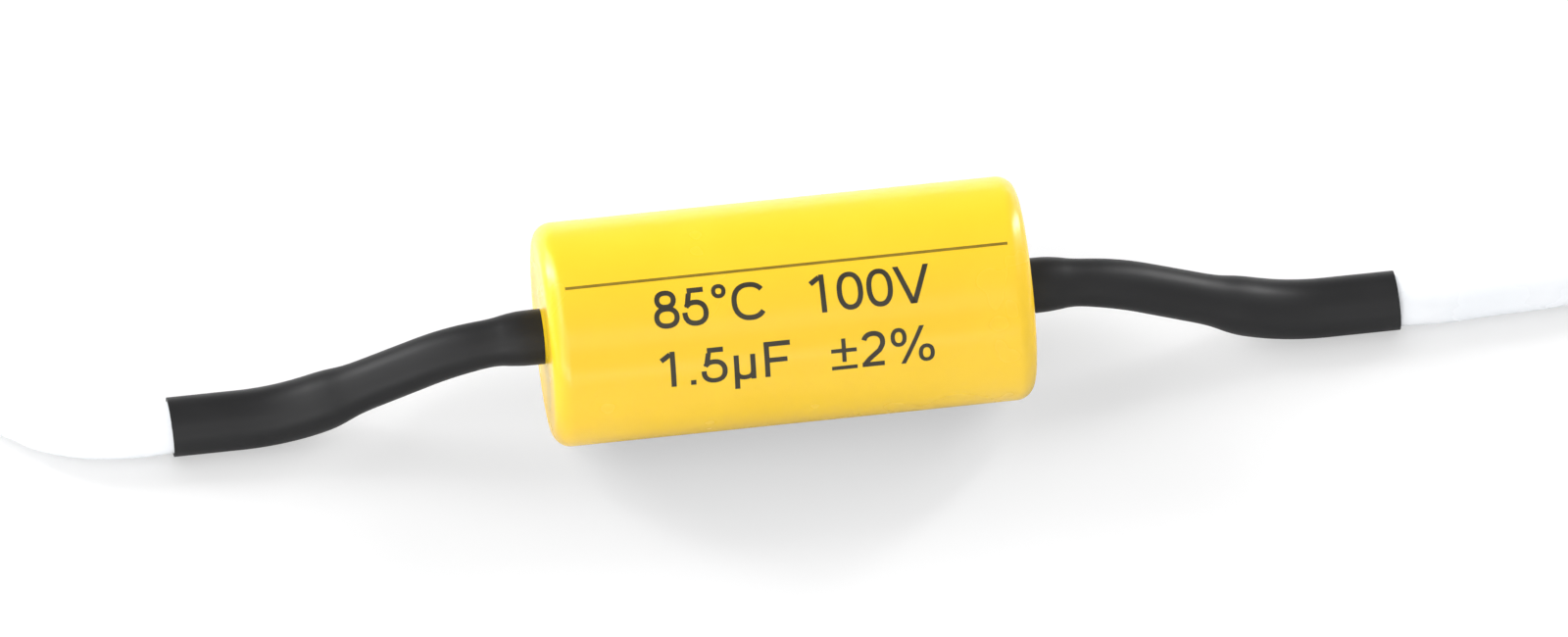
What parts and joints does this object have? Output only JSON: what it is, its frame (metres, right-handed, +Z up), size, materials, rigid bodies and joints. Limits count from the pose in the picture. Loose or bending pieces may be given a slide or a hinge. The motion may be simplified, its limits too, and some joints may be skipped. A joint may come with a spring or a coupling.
{
  "type": "film capacitor",
  "caption": "Axial film capacitor: a yellow round body whose two leads are soldered to white flying wires under black shrunk sleeves.",
  "frame": {"origin": "on the surface that the part lies on, under the middle of the body", "axes": "+X along the body's axis towards the right-hand lead, +Y to the back, +Z up"},
  "size_m": [0.1045, 0.0375, 0.012],
  "materials": {
    "body_film": "glossy yellow polyester film",
    "end_resin": "glossy yellow epoxy resin",
    "metallised_film": "metallised polyester film, wound",
    "zinc": "sprayed zinc, matt",
    "tinned_copper": "tinned copper, satin",
    "solder": "bright solder",
    "sleeve_black": "satin black polyolefin heat-shrink",
    "insulation_white": "glossy white insulation"
  },
  "bodies": {
    "root": {"outer_wrap": "body_film", "film_winding": "metallised_film", "end_spray_left": "zinc", "end_spray_right": "zinc", "end_seal_left": "end_resin", "end_seal_right": "end_resin", "lead_left": "tinned_copper", "lead_right": "tinned_copper", "wire_strands_left": "tinned_copper", "wire_strands_right": "tinned_copper", "tinned_tip_left": "tinned_copper", "tinned_tip_right": "tinned_copper", "solder_joint_left": "solder", "solder_joint_right": "solder", "sleeve_left": "sleeve_black", "sleeve_right": "sleeve_black", "wire_left": "insulation_white", "wire_right": "insulation_white"}
  },
  "joints": []
}
